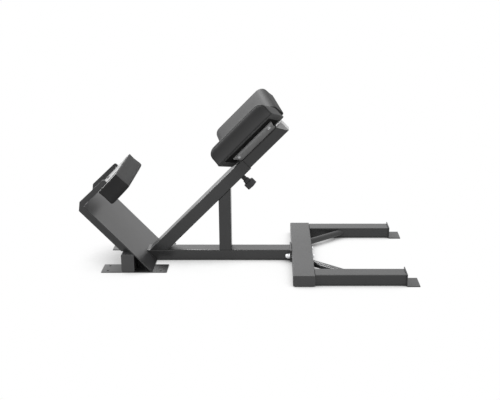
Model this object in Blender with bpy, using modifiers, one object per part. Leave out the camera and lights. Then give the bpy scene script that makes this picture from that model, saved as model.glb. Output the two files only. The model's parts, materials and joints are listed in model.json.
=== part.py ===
# Hyperextension bench: welded tube frame, 45 degree telescoping arm with a
# pull pin, twin tilted thigh cushions, a foot plate and an ankle cushion.
# Units are metres, +Z is up, +X runs from the foot plate to the rear legs.

import math

import bmesh
import bpy
from mathutils import Matrix, Vector

# Clearances, the reach of the cutting blocks, what raw solids run past their cuts, the overlap of
# joined solids, the match of coordinates, the weld and slice distances, and the turns that make an
# edge a corner, a bevelled edge, a sharp edge of a part and a sharp edge of a cushion
GAP = 0.0003
FAR = 1.0
SPARE = 0.030
OVERLAP = 0.0005
MATCH = 0.0001
WELD = 0.00001
SLICE_MATCH = 0.00005
CORNER_TURN = math.radians(45)
BEVEL_TURN = math.radians(40)
SHARP_TURN = math.radians(35)
CUSHION_SHARP_TURN = math.radians(50)
LEAST_CORNER = 0.001

# Main beam and the tubes of the rear base
TUBE_WIDTH = 0.080
TUBE_HEIGHT = 0.050
TUBE_WALL = 0.003
TUBE_CORNER = 0.005
GROUND_CLEARANCE = 0.004
FLANGE_FACE_X = 0.2007
FLANGE_THICK = 0.0075
FLANGE_HALF_WIDTH = 0.064
FLANGE_HEIGHT = 0.056
FLANGE_BOTTOM = 0.003
FLANGE_CORNER = 0.004
CROSSBAR_DEPTH = 0.100
CROSSBAR_LENGTH = 0.747
LEG_LENGTH = 0.4085
LEG_INSET = 0.011
BRACE_RADIUS = 0.0155
BRACE_WALL = 0.0025
BRACE_START_Y = 0.153
BRACE_ANGLE = math.radians(40)
CAP_PLATE = 0.0025
CAP_PLUG = 0.012
CAP_PLUG_CORNER = 0.003

# Floor brackets at the leg ends
BRACKET_THICK = 0.0045
BRACKET_WIDTH = 0.099
BRACKET_HEIGHT = 0.059
BRACKET_TAB = 0.058
BRACKET_BEND = 0.003

# Front base: cross tube on two floor plates
CROSS_TUBE_LEFT_X = -0.5888
CROSS_TUBE_DEPTH = 0.060
CROSS_TUBE_HEIGHT = 0.0855
CROSS_TUBE_LENGTH = 0.400
PLATE_LENGTH = 0.307
PLATE_WIDTH = 0.100
PLATE_THICK = 0.0037
PLATE_OVERHANG = 0.097
PLATE_PAST_TUBE = 0.0010
PLATE_CORNER = 0.002
PLATE_HOLE_RADIUS = 0.005
PLATE_HOLE_INSET_X = 0.029
PLATE_HOLE_INSET_Y = 0.020

# Foot plate and its side plates
FOOT_ANGLE = math.radians(46.9)
FOOT_LENGTH = 0.4395
FOOT_END_RADIUS = 0.004
FOOT_THICK = 0.005
FOOT_EDGE = 0.0008
SIDE_OUTER_Y = 0.155
SIDE_THICK = 0.008
SIDE_START = 0.020
SIDE_RELIEF = 0.002
SIDE_DEPTH = 0.0455
SIDE_ARM_WIDTH = 0.025
SIDE_ARM_REACH = 0.142
SIDE_ARM_TIP_RADIUS = 0.010
SIDE_CHAMFER_ALONG = 0.0277
SIDE_CHAMFER_DOWN = 0.0338

# Ankle cushion
ANKLE_START = 0.0943
ANKLE_HEIGHT = 0.119
ANKLE_THICK = 0.0836
ANKLE_LENGTH = 0.3958
ANKLE_TILT = math.radians(3.0)
ANKLE_CROWN = 0.002
ANKLE_DRAW_IN = 0.0015
ANKLE_BACK_RADIUS = 0.003
ANKLE_BACK_THICK = 0.003
ANKLE_BACK_CORNER = 0.006
ANKLE_BACK_MARGIN = 0.004
ANKLE_BACK_DROP = 0.059
ANKLE_END_RADIUS = 0.010
ANKLE_EDGE_RADIUS = 0.008
ANKLE_BOLT_OUT = 0.137
ANKLE_BOLT_HEIGHT = 0.037
ANKLE_BOLT_MIDDLE_HEIGHT = 0.020
ANKLE_BOLT_RADIUS = 0.008
ANKLE_BOLT_HEAD = 0.0045

# Upright and 45 degree arm
UPRIGHT_LEFT_X = -0.1408
UPRIGHT_DEPTH = 0.058
ARM_ANGLE = math.radians(45)
ARM_ROOT_X = -0.4873
ARM_HEIGHT = 0.061
ARM_WIDTH = 0.080
ARM_WALL = 0.0025
ARM_MOUTH = 0.6795

# Sliding carriage inside the arm
SLIDE_PLAY_HEIGHT = 0.0017
SLIDE_PLAY_WIDTH = 0.0025
CARRIAGE_WALL = 0.003
CARRIAGE_CORNER = 0.004
CARRIAGE_INSERTION = 0.335
CARRIAGE_REACH = 0.2575
CARRIAGE_MITRE = math.radians(30.3)
END_CAP_SHORT_SIDE = 0.0040
END_CAP_LENGTH = 0.062
PLUG_CORNER = 0.0015
BUSH_LENGTH = 0.045
GLIDE_LENGTH = 0.030
GLIDE_PLUG = 0.020

# Pull pin under the arm
PIN_TO_MOUTH = 0.062
PIN_RADIUS = 0.006
PIN_TRAVEL = 0.012
PIN_PARK_GAP = 0.0005
PIN_TIP_TAPER = 0.0015
TURNED_EDGE = 0.001
HOLE_PITCH = 0.050
HOLE_COUNT = 5
BOSS_RADIUS = 0.014
BOSS_HEIGHT = 0.006
BOSS_FOOT = 0.002
BARREL_RADIUS = 0.01135
BARREL_END = 0.0330
KNOB_SKIRT_START = 0.0240
KNOB_SKIRT_RADIUS = 0.0150
KNOB_SKIRT_FLARE = 0.0170
KNOB_HEAD_START = 0.0405
KNOB_END = 0.0690
KNOB_RADIUS = 0.0275
KNOB_ROOF = 0.0115
KNOB_EDGE = 0.004
KNOB_LOBES = 5
KNOB_LOBE_DEPTH = 0.0035
KNOB_POINTS = 60

# Folded carrier plate and the thigh cushions
CARRIER_THICK = 0.005
CARRIER_LENGTH = 0.2437
CARRIER_WEB_HALF = 0.028
CARRIER_WEB_LENGTH = 0.2167
CARRIER_WING = 0.1343
PAD_TILT = math.radians(21.4)
PAD_WIDTH = 0.2215
PAD_THICK = 0.080
PAD_LENGTH = 0.3405
PAD_OVERHANG = 0.0550
PAD_CENTRE_GAP = 0.0335
PAD_END_RADIUS = 0.040
PAD_EDGE_RADIUS = 0.014
PAD_BACK_RADIUS = 0.002
PAD_CROWN = 0.004
PAD_DRAW_IN = 0.0025
BOARD_THICK = 0.012
BOARD_INSET = 0.030
PAD_BOLT_LOW = 0.0170
PAD_BOLT_PITCH = 0.193
PAD_BOLT_OUT = 0.083
PAD_BOLT_RADIUS = 0.004
PAD_BOLT_HEAD_RADIUS = 0.0075
PAD_BOLT_HEAD = 0.0045

# Frame bolts through the flange
FRAME_BOLT_Y = 0.0525
FRAME_BOLT_Z = 0.0275
FRAME_BOLT_RADIUS = 0.006
FRAME_NUT_RADIUS = 0.0118
FRAME_NUT_HEIGHT = 0.0110
FRAME_NUT_DOME = 0.0105
FRAME_DOME_RADIUS = 0.01015
FRAME_HEAD_RADIUS = 0.0095
FRAME_HEAD_HEIGHT = 0.0090
FRAME_WASHER = 0.002

# Colours as linear RGB, roughness and metallic of each finish
ANTHRACITE = ((0.034, 0.034, 0.035), 0.30, 0.0)
BLACK_VINYL = ((0.016, 0.016, 0.017), 0.40, 0.0)
BLACK_PLASTIC = ((0.028, 0.028, 0.030), 0.50, 0.0)
LIGHT_PLASTIC = ((0.53, 0.53, 0.53), 0.45, 0.0)
ZINC = ((0.62, 0.63, 0.65), 0.30, 1.0)
BLACK_STEEL = ((0.050, 0.050, 0.052), 0.40, 1.0)
BLACK_BOARD = ((0.016, 0.016, 0.016), 0.80, 0.0)
LIGHT_PAINT = ((0.30, 0.30, 0.30), 0.34, 0.0)

COLLECTION_NAME = "hyperextension_bench"
SIDES = (("near", -1), ("far", 1))

# Places worked out from the sizes above
TUBE_TOP = GROUND_CLEARANCE + TUBE_HEIGHT
CROSSBAR_LEFT = FLANGE_FACE_X + FLANGE_THICK + GAP
CROSSBAR_RIGHT = CROSSBAR_LEFT + CROSSBAR_DEPTH
CROSSBAR_END_Y = CROSSBAR_LENGTH / 2
LEG_CENTRE_Y = CROSSBAR_END_Y - LEG_INSET - TUBE_WIDTH / 2
LEG_END = CROSSBAR_RIGHT + GAP + LEG_LENGTH
CROSS_TUBE_TOP = GROUND_CLEARANCE + CROSS_TUBE_HEIGHT
CROSS_TUBE_RIGHT = CROSS_TUBE_LEFT_X + CROSS_TUBE_DEPTH
FOOT_WIDTH = CROSS_TUBE_LENGTH
PLATE_OUTER_Y = CROSS_TUBE_LENGTH / 2 + PLATE_PAST_TUBE
CARRIAGE_HEIGHT = ARM_HEIGHT - 2 * ARM_WALL - 2 * SLIDE_PLAY_HEIGHT
CARRIAGE_WIDTH = ARM_WIDTH - 2 * ARM_WALL - 2 * SLIDE_PLAY_WIDTH
PIN_ALONG = ARM_MOUTH - PIN_TO_MOUTH
CARRIER_START = ARM_MOUTH + GAP
CARRIER_BOTTOM = CARRIAGE_HEIGHT / 2 + GAP


def clear_scene():
    for obj in list(bpy.data.objects):
        bpy.data.objects.remove(obj, do_unlink=True)


def new_collection(name):
    collection = bpy.data.collections.new(name)
    bpy.context.scene.collection.children.link(collection)
    return collection


clear_scene()
PARTS = new_collection(COLLECTION_NAME)
CUTTERS = new_collection("cutters")


def give_finish(obj, finish):
    colour, roughness, metallic = finish
    material = bpy.data.materials.new(obj.name + "_finish")
    material.use_nodes = True
    shader = material.node_tree.nodes["Principled BSDF"]
    shader.inputs["Base Color"].default_value = (*colour, 1.0)
    shader.inputs["Roughness"].default_value = roughness
    shader.inputs["Metallic"].default_value = metallic
    obj.data.materials.clear()
    obj.data.materials.append(material)


def new_object(name, mesh, matrix=None, parent=None):
    obj = bpy.data.objects.new(name, mesh)
    PARTS.objects.link(obj)
    obj.parent = parent
    obj.matrix_local = matrix or Matrix()
    return obj


def new_empty(name, matrix, parent=None):
    empty = bpy.data.objects.new(name, None)
    PARTS.objects.link(empty)
    empty.parent = parent
    empty.matrix_local = matrix
    empty.empty_display_size = 0.05
    return empty


def basis(origin, x_axis, y_axis, z_axis):
    rows = Matrix((x_axis, y_axis, z_axis)).transposed().to_4x4()
    return Matrix.Translation(origin) @ rows


def rounded_rectangle(width, height, radius, steps=4):
    points = []
    for corner in range(4):
        centre_x = (width / 2 - radius) * (1 if corner in (0, 3) else -1)
        centre_y = (height / 2 - radius) * (1 if corner in (0, 1) else -1)
        for step in range(steps + 1):
            angle = math.pi / 2 * (corner + step / steps)
            points.append((centre_x + radius * math.cos(angle), centre_y + radius * math.sin(angle)))
    return points


def circle(centre, radius, steps=20):
    angles = [2 * math.pi * step / steps for step in range(steps)]
    return [(centre[0] + radius * math.cos(a), centre[1] + radius * math.sin(a)) for a in angles]


def arc(centre, radius, start, end, steps):
    angles = [start + (end - start) * step / steps for step in range(steps + 1)]
    return [(centre[0] + radius * math.cos(a), centre[1] + radius * math.sin(a)) for a in angles]


def evaluated_mesh(obj):
    # The evaluated shape as a welded mesh with its faces pointing out
    bpy.context.view_layer.update()
    graph = bpy.context.evaluated_depsgraph_get()
    mesh = bpy.data.meshes.new_from_object(obj.evaluated_get(graph))
    work = bmesh.new()
    work.from_mesh(mesh)
    bmesh.ops.remove_doubles(work, verts=work.verts, dist=WELD)
    bmesh.ops.recalc_face_normals(work, faces=work.faces)
    work.to_mesh(mesh)
    work.free()
    return mesh


def extrude_loops(name, loops, depth, matrix=None, parent=None):
    # A flat outline, with any inner loops as holes, extruded along local Z about its middle
    curve = bpy.data.curves.new(name, "CURVE")
    curve.dimensions = "2D"
    curve.fill_mode = "BOTH"
    curve.extrude = depth / 2
    for loop in loops:
        spline = curve.splines.new("POLY")
        spline.points.add(len(loop) - 1)
        for point, (x, y) in zip(spline.points, loop):
            point.co = (x, y, 0, 1)
        spline.use_cyclic_u = True
    source = new_object(name + "_outline", curve)
    mesh = evaluated_mesh(source)
    mesh.name = name
    bpy.data.objects.remove(source, do_unlink=True)
    return new_object(name, mesh, matrix, parent)


def turned(name, profile, matrix, parent, steps):
    # A closed profile of (radius, height) points turned round local Z
    work = bmesh.new()
    verts = [work.verts.new((radius, 0, height)) for radius, height in profile]
    pairs = list(zip(verts, verts[1:]))
    if profile[0][0] > MATCH:
        pairs.append((verts[-1], verts[0]))
    for first, second in pairs:
        work.edges.new((first, second))
    mesh = bpy.data.meshes.new(name)
    work.to_mesh(mesh)
    work.free()
    source = new_object(name + "_profile", mesh)
    screw = source.modifiers.new("turn", "SCREW")
    screw.axis = "Z"
    screw.steps = steps
    screw.render_steps = steps
    screw.use_merge_vertices = True
    screw.merge_threshold = WELD
    result = evaluated_mesh(source)
    result.name = name
    bpy.data.objects.remove(source, do_unlink=True)
    return new_object(name, result, matrix, parent)


def box(name, low, high, matrix=None, parent=None):
    low = Vector(low)
    high = Vector(high)
    work = bmesh.new()
    bmesh.ops.create_cube(work, size=1)
    for vert in work.verts:
        place = [middle + span * part for middle, span, part in zip((low + high) / 2, high - low, vert.co)]
        vert.co = place
    mesh = bpy.data.meshes.new(name)
    work.to_mesh(mesh)
    work.free()
    return new_object(name, mesh, matrix, parent)


def combine(obj, other, operation):
    CUTTERS.objects.link(other)
    for collection in list(other.users_collection):
        if collection is not CUTTERS:
            collection.objects.unlink(other)
    other.hide_render = True
    other.display_type = "WIRE"
    modifier = obj.modifiers.new(other.name, "BOOLEAN")
    modifier.operation = operation
    modifier.solver = "EXACT"
    modifier.object = other
    return obj


def cut(obj, cutter):
    return combine(obj, cutter, "DIFFERENCE")


def join(obj, other):
    return combine(obj, other, "UNION")


def smooth(obj, angle=SHARP_TURN):
    for polygon in obj.data.polygons:
        polygon.use_smooth = True
    obj.data.set_sharp_from_angle(angle=angle)


def bevel_edges(obj, width, segments=2):
    modifier = obj.modifiers.new("edges", "BEVEL")
    modifier.width = width
    modifier.segments = segments
    modifier.limit_method = "ANGLE"
    modifier.angle_limit = BEVEL_TURN


def square_tube(name, section, wall, corner, length, matrix, parent=None):
    # A hollow section: section is its size on local X and Y, and it runs along local Z
    width, height = section
    outer = rounded_rectangle(width, height, corner)
    inner_corner = max(corner - wall, LEAST_CORNER)
    inner = rounded_rectangle(width - 2 * wall, height - 2 * wall, inner_corner)
    tube = extrude_loops(name, [outer, inner], length, matrix, parent)
    smooth(tube)
    return tube


ALONG_X = ((0, 1, 0), (0, 0, 1), (1, 0, 0))
ALONG_Y = ((1, 0, 0), (0, 0, -1), (0, 1, 0))
ALONG_Z = ((1, 0, 0), (0, 1, 0), (0, 0, 1))
ACROSS_FOOT = ((1, 0, 0), (0, 0, 1), (0, -1, 0))


# The foot frame: its x axis climbs the foot plate from the lower tip, its z axis leaves the top
# face and its y axis points to -Y
def foot_frame_matrix():
    climb = Vector((-math.cos(FOOT_ANGLE), 0, math.sin(FOOT_ANGLE)))
    outward = Vector((math.sin(FOOT_ANGLE), 0, math.cos(FOOT_ANGLE)))
    seat = Vector((CROSS_TUBE_RIGHT, 0, CROSS_TUBE_TOP)) + outward * seat_height()
    drop = (seat.z - GROUND_CLEARANCE) / math.sin(FOOT_ANGLE)
    tip = seat - climb * drop
    return basis(tip, climb, outward.cross(climb), outward)


def seat_height():
    # The tube's rounded corner bulges less than its sharp corner, so the plate sits a little lower
    direction = max(0.0, math.sin(FOOT_ANGLE) + math.cos(FOOT_ANGLE) - 1)
    return FOOT_THICK + GAP - TUBE_CORNER * direction


# The arm frame: its x axis climbs the arm from the floor, its z axis is square to it, up and left
def arm_frame_matrix():
    along = Vector((math.cos(ARM_ANGLE), 0, math.sin(ARM_ANGLE)))
    above = Vector((-math.sin(ARM_ANGLE), 0, math.cos(ARM_ANGLE)))
    return basis(Vector((ARM_ROOT_X, 0, 0)), along, above.cross(along), above)


FOOT = new_empty("foot_frame", foot_frame_matrix())
ARM = new_empty("arm_frame", arm_frame_matrix())


def main_beam():
    left = CROSS_TUBE_LEFT_X
    right = FLANGE_FACE_X - GAP
    centre = ((left + right) / 2, 0, GROUND_CLEARANCE + TUBE_HEIGHT / 2)
    section = (TUBE_WIDTH, TUBE_HEIGHT)
    beam = square_tube("main_beam", section, TUBE_WALL, TUBE_CORNER, right - left, basis(centre, *ALONG_X))
    below_plate = box("beam_mitre", (-FAR, -FAR, -FAR), (FAR, FAR, GAP), parent=FOOT)
    cut(beam, below_plate)
    give_finish(beam, ANTHRACITE)


def front_cross_tube():
    centre = (CROSS_TUBE_LEFT_X + CROSS_TUBE_DEPTH / 2, 0, GROUND_CLEARANCE + CROSS_TUBE_HEIGHT / 2)
    section = (CROSS_TUBE_DEPTH, CROSS_TUBE_HEIGHT)
    length = CROSS_TUBE_LENGTH - 2 * (CAP_PLATE + GAP)
    tube = square_tube("front_cross_tube", section, TUBE_WALL, TUBE_CORNER, length, basis(centre, *ALONG_Y))
    give_finish(tube, ANTHRACITE)
    for side, sign in SIDES:
        name = "front_cross_tube_cap_" + side
        tube_cap(name, section, TUBE_WALL, centre[0], sign * CROSS_TUBE_LENGTH / 2, centre[2], sign)


def tube_cap(name, section, wall, x, outer_y, z, sign):
    # An end plate with a plug that fits inside the tube
    plate = rounded_rectangle(section[0], section[1], TUBE_CORNER)
    inset = 2 * (wall + GAP)
    inner = rounded_rectangle(section[0] - inset, section[1] - inset, CAP_PLUG_CORNER)
    plate_y = outer_y - sign * CAP_PLATE / 2
    plug_y = outer_y - sign * (CAP_PLATE + CAP_PLUG / 2 - OVERLAP)
    cap = extrude_loops(name, [plate], CAP_PLATE, basis((x, plate_y, z), *ALONG_Y))
    plug = extrude_loops(name + "_plug", [inner], CAP_PLUG, basis((x, plug_y, z), *ALONG_Y))
    join(cap, plug)
    give_finish(cap, ANTHRACITE)


def floor_plate(side, sign):
    left = CROSS_TUBE_LEFT_X - PLATE_OVERHANG
    middle_x = left + PLATE_LENGTH / 2
    middle_y = sign * (PLATE_OUTER_Y - PLATE_WIDTH / 2)
    outline = rounded_rectangle(PLATE_LENGTH, PLATE_WIDTH, PLATE_CORNER, 2)
    reach_x = PLATE_LENGTH / 2 - PLATE_HOLE_INSET_X
    reach_y = PLATE_WIDTH / 2 - PLATE_HOLE_INSET_Y
    holes = [circle((x, y), PLATE_HOLE_RADIUS, 16) for x in (-reach_x, reach_x) for y in (-reach_y, reach_y)]
    place = Matrix.Translation((middle_x, middle_y, PLATE_THICK / 2))
    plate = extrude_loops("floor_plate_" + side, [outline, *holes], PLATE_THICK, place)
    give_finish(plate, ANTHRACITE)


def foot_plate():
    # A sheet with a rolled upper end, drawn in the foot frame's x and z
    radius = FOOT_END_RADIUS
    points = [(-SPARE, 0), (-SPARE, -FOOT_THICK), (FOOT_LENGTH, -FOOT_THICK)]
    points += arc((FOOT_LENGTH - radius, -radius), radius, 0, math.pi / 2, 5)
    sheet = extrude_loops("foot_plate", [points], FOOT_WIDTH, basis((0, 0, 0), *ACROSS_FOOT), FOOT)
    floor_level = PLATE_THICK + GAP
    ground = box("foot_plate_ground", (-FAR, -FAR, -FAR), (FAR, FAR, floor_level))
    cut(sheet, ground)
    bevel_edges(sheet, FOOT_EDGE, 1)
    give_finish(sheet, ANTHRACITE)


def side_plate(side, sign):
    # An L cut from plate, drawn in the foot frame's x and z, with a round relief in its inner corner
    top = -FOOT_THICK - GAP
    bottom = top - SIDE_DEPTH
    inner = FOOT_LENGTH + GAP
    outer = inner + SIDE_ARM_WIDTH
    tip = SIDE_ARM_REACH
    radius = SIDE_ARM_TIP_RADIUS
    points = [(SIDE_START, top), (SIDE_START, bottom), (outer - SIDE_CHAMFER_ALONG, bottom)]
    points.append((outer, bottom + SIDE_CHAMFER_DOWN))
    points += arc((outer - radius, tip - radius), radius, 0, math.pi / 2, 5)
    points += arc((inner + radius, tip - radius), radius, math.pi / 2, math.pi, 5)
    points += arc((inner, top), SIDE_RELIEF, math.pi / 2, -math.pi, 9)
    centre_y = -sign * (SIDE_OUTER_Y - SIDE_THICK / 2)
    stand = basis((0, centre_y, 0), *ACROSS_FOOT)
    plate = extrude_loops("side_plate_" + side, [points], SIDE_THICK, stand, FOOT)
    seat = CROSS_TUBE_TOP + GAP
    tube_space = box("side_plate_seat_" + side, (-FAR, -FAR, -FAR), (FAR, FAR, seat))
    cut(plate, tube_space)
    # Above its lower edge the cushion leans back, and the arms' inner edges lean with it
    low = (-FAR, -ANKLE_HEIGHT / 2 - GAP, -GAP)
    cushion_space = box("side_plate_cushion_" + side, low, (FAR, FAR, FAR), ankle_matrix(), FOOT)
    cut(plate, cushion_space)
    give_finish(plate, ANTHRACITE)


def cushion(name, size, radii, crown, draw_in, cuts, matrix, parent):
    # size runs on local X, Y, Z: its back is at z = 0 and its face at z = size z.
    # radii are those of the face's end edges, the face's long edges and the back's edges. The end
    # radius is the larger one, because the long edges' rounding runs round inside it.
    length, width, thick = size
    end_radius, edge_radius, back_radius = radii
    work = bmesh.new()
    bmesh.ops.create_cube(work, size=1)
    for vert in work.verts:
        vert.co = (vert.co.x * length, vert.co.y * width, (vert.co.z + 0.5) * thick)
    round_cushion_edges(work, end_radius, lambda a, b: is_end_edge(a, b, thick), 6)
    round_cushion_edges(work, edge_radius, lambda a, b: is_rim(a, b, width), 3)
    slice_cushion(work, length, width, thick, cuts)
    for vert in work.verts:
        vert.co = swell(vert.co, length, width, thick, crown, draw_in)
    bmesh.ops.bevel(work, geom=back_rim(work), offset=back_radius, segments=2, affect="EDGES", profile=0.5)
    bmesh.ops.recalc_face_normals(work, faces=work.faces)
    mesh = bpy.data.meshes.new(name)
    work.to_mesh(mesh)
    work.free()
    pad = new_object(name, mesh, matrix, parent)
    smooth(pad, CUSHION_SHARP_TURN)
    return pad


def is_end_edge(a, b, thick):
    at_face = min(a.z, b.z) > thick - MATCH
    return at_face and abs(a.x - b.x) < MATCH


def is_rim(a, b, width):
    return abs(a.y - b.y) < MATCH and abs(abs(a.y) - width / 2) < MATCH and max(a.z, b.z) > MATCH


def round_cushion_edges(work, radius, wanted, segments):
    edges = [e for e in work.edges if wanted(e.verts[0].co, e.verts[1].co)]
    edges = [e for e in edges if max(e.verts[0].co.z, e.verts[1].co.z) > MATCH]
    edges = [e for e in edges if len(e.link_faces) == 2 and e.calc_face_angle() > CORNER_TURN]
    bmesh.ops.bevel(work, geom=edges, offset=radius, segments=segments, affect="EDGES", profile=0.5)


def back_rim(work):
    edges = [e for e in work.edges if e.is_manifold and e.calc_face_angle() > CORNER_TURN]
    return [e for e in edges if max(e.verts[0].co.z, e.verts[1].co.z) < MATCH]


def slice_cushion(work, length, width, thick, cuts):
    along, across, up = cuts
    planes = [((length * (i / along - 0.5), 0, 0), (1, 0, 0)) for i in range(1, along)]
    planes += [((0, width * (i / across - 0.5), 0), (0, 1, 0)) for i in range(1, across)]
    planes += [((0, 0, thick * i / up), (0, 0, 1)) for i in range(1, up)]
    for place, normal in planes:
        everything = work.verts[:] + work.edges[:] + work.faces[:]
        bmesh.ops.bisect_plane(work, geom=everything, dist=SLICE_MATCH, plane_co=place, plane_no=normal)


def swell(place, length, width, thick, crown, draw_in):
    # The face rises to its crown and the sides draw in above the board
    u = 2 * place.x / length
    v = 2 * place.y / width
    w = place.z / thick
    rise = crown * max(0.0, 1 - u ** 4) * max(0.0, 1 - v ** 4) * w ** 3
    pinch = draw_in * math.sin(math.pi * min(1.0, w / 0.75))
    x = place.x - math.copysign(pinch * abs(u) ** 6, u)
    y = place.y - math.copysign(pinch * abs(v) ** 6, v)
    return Vector((x, y, place.z + rise))


def ankle_matrix():
    # The ankle frame lies in the middle of the cushion's back: its z axis leaves the face and its
    # y axis climbs the back, whose lower edge meets the inner edges of the side plates' arms
    lean = Vector((math.sin(ANKLE_TILT), 0, math.cos(ANKLE_TILT)))
    face = Vector((-math.cos(ANKLE_TILT), 0, math.sin(ANKLE_TILT)))
    lower_edge = Vector((FOOT_LENGTH, 0, ANKLE_START))
    return basis(lower_edge + lean * ANKLE_HEIGHT / 2, (0, -1, 0), lean, face)


def ankle_cushion():
    frame = ankle_matrix()
    size = (ANKLE_LENGTH, ANKLE_HEIGHT, ANKLE_THICK)
    radii = (ANKLE_END_RADIUS, ANKLE_EDGE_RADIUS, ANKLE_BACK_RADIUS)
    pad = cushion("ankle_pad", size, radii, ANKLE_CROWN, ANKLE_DRAW_IN, (8, 5, 3), frame, FOOT)
    give_finish(pad, BLACK_VINYL)
    ankle_back_plate(frame)
    ankle_bolts(frame)


def ankle_back_plate(frame):
    # A plate between the two arms that carries the cushion and runs on below it
    low = -ANKLE_HEIGHT / 2 - ANKLE_BACK_DROP
    high = ANKLE_HEIGHT / 2 - ANKLE_BACK_MARGIN
    length = 2 * (SIDE_OUTER_Y - SIDE_THICK - GAP)
    outline = rounded_rectangle(length, high - low, ANKLE_BACK_CORNER)
    place = frame @ Matrix.Translation((0, (low + high) / 2, -GAP - ANKLE_BACK_THICK / 2))
    plate = extrude_loops("ankle_back_plate", [outline], ANKLE_BACK_THICK, place, FOOT)
    give_finish(plate, LIGHT_PAINT)


def dome(radius, height, steps):
    # The profile of a turned dome that stands on its flat side
    curve = [(radius * x, height * y) for x, y in arc((0, 0), 1, 0, math.pi / 2, steps)]
    curve[-1] = (0, height)
    return [(0, 0)] + curve


def ankle_bolts(frame):
    # Button heads that clamp the cushion to the back plate: one by each arm and one in the middle
    spots = [(side, sign * ANKLE_BOLT_OUT, ANKLE_BOLT_HEIGHT) for side, sign in SIDES]
    spots.append(("middle", 0, ANKLE_BOLT_MIDDLE_HEIGHT))
    behind = -ANKLE_BACK_THICK - 2 * GAP
    for name, across, height in spots:
        place = (across, height - ANKLE_HEIGHT / 2, behind)
        seat = basis(place, (1, 0, 0), (0, -1, 0), (0, 0, -1))
        profile = dome(ANKLE_BOLT_RADIUS, ANKLE_BOLT_HEAD, 4)
        bolt = turned("ankle_bolt_" + name, profile, frame @ seat, FOOT, 16)
        smooth(bolt)
        give_finish(bolt, BLACK_STEEL)


def flange():
    centre = (FLANGE_FACE_X + FLANGE_THICK / 2, 0, FLANGE_BOTTOM + FLANGE_HEIGHT / 2)
    outline = rounded_rectangle(2 * FLANGE_HALF_WIDTH, FLANGE_HEIGHT, FLANGE_CORNER)
    bolt_z = FRAME_BOLT_Z - centre[2]
    holes = [circle((sign * FRAME_BOLT_Y, bolt_z), FRAME_BOLT_RADIUS + GAP, 16) for side, sign in SIDES]
    plate = extrude_loops("flange_plate", [outline, *holes], FLANGE_THICK, basis(centre, *ALONG_X))
    give_finish(plate, ANTHRACITE)


def rear_crossbar():
    centre = (CROSSBAR_LEFT + CROSSBAR_DEPTH / 2, 0, GROUND_CLEARANCE + TUBE_HEIGHT / 2)
    section = (CROSSBAR_DEPTH, TUBE_HEIGHT)
    length = CROSSBAR_LENGTH - 2 * (CAP_PLATE + GAP)
    bar = square_tube("rear_crossbar", section, TUBE_WALL, TUBE_CORNER, length, basis(centre, *ALONG_Y))
    for side, sign in SIDES:
        place = basis((centre[0], sign * FRAME_BOLT_Y, FRAME_BOLT_Z), *ALONG_X)
        ring = circle((0, 0), FRAME_BOLT_RADIUS + GAP, 16)
        cut(bar, extrude_loops("crossbar_hole_" + side, [ring], 2 * CROSSBAR_DEPTH, place))
        name = "rear_crossbar_cap_" + side
        tube_cap(name, section, TUBE_WALL, centre[0], sign * CROSSBAR_END_Y, centre[2], sign)
    give_finish(bar, ANTHRACITE)


def leg(side, sign):
    start = CROSSBAR_RIGHT + GAP
    centre = (start + LEG_LENGTH / 2, sign * LEG_CENTRE_Y, GROUND_CLEARANCE + TUBE_HEIGHT / 2)
    section = (TUBE_WIDTH, TUBE_HEIGHT)
    tube = square_tube("leg_" + side, section, TUBE_WALL, TUBE_CORNER, LEG_LENGTH, basis(centre, *ALONG_X))
    give_finish(tube, ANTHRACITE)


def leg_bracket(side, sign):
    # A folded L: the upright plate closes the leg, the tab lies on the floor
    face = LEG_END + GAP
    thick = BRACKET_THICK
    end = face + thick + BRACKET_TAB
    bend = BRACKET_BEND
    points = [(face, BRACKET_HEIGHT), (face, thick + bend)]
    points += arc((face + thick + bend, thick + bend), thick + bend, math.pi, 1.5 * math.pi, 4)
    points += [(end, 0), (end, thick)]
    points += arc((face + thick + bend, thick + bend), bend, 1.5 * math.pi, math.pi, 4)
    points.append((face + thick, BRACKET_HEIGHT))
    place = basis((0, sign * LEG_CENTRE_Y, 0), (1, 0, 0), (0, 0, 1), (0, -1, 0))
    bracket = extrude_loops("leg_bracket_" + side, [points], BRACKET_WIDTH, place)
    give_finish(bracket, ANTHRACITE)


def brace(side, sign):
    start = Vector((CROSSBAR_RIGHT, sign * BRACE_START_Y, GROUND_CLEARANCE + TUBE_HEIGHT / 2))
    direction = Vector((math.cos(BRACE_ANGLE), sign * math.sin(BRACE_ANGLE), 0))
    leg_face = LEG_CENTRE_Y - TUBE_WIDTH / 2
    length = (leg_face - BRACE_START_Y) / math.sin(BRACE_ANGLE)
    middle = start + direction * length / 2
    across = Vector((0, 0, 1)).cross(direction)
    place = basis(middle, across, Vector((0, 0, 1)).cross(across) * -1, direction * -1)
    rings = [circle((0, 0), BRACE_RADIUS, 24), circle((0, 0), BRACE_RADIUS - BRACE_WALL, 24)]
    tube = extrude_loops("brace_" + side, rings, length + 2 * SPARE, place)
    smooth(tube)
    bar_space = box("brace_bar_" + side, (-FAR, -FAR, -FAR), (CROSSBAR_RIGHT + GAP, FAR, FAR))
    low_y, high_y = sorted((sign * (leg_face - GAP), sign * FAR))
    leg_space = box("brace_leg_" + side, (-FAR, low_y, -FAR), (FAR, high_y, FAR))
    cut(tube, bar_space)
    cut(tube, leg_space)
    give_finish(tube, ANTHRACITE)


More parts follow.
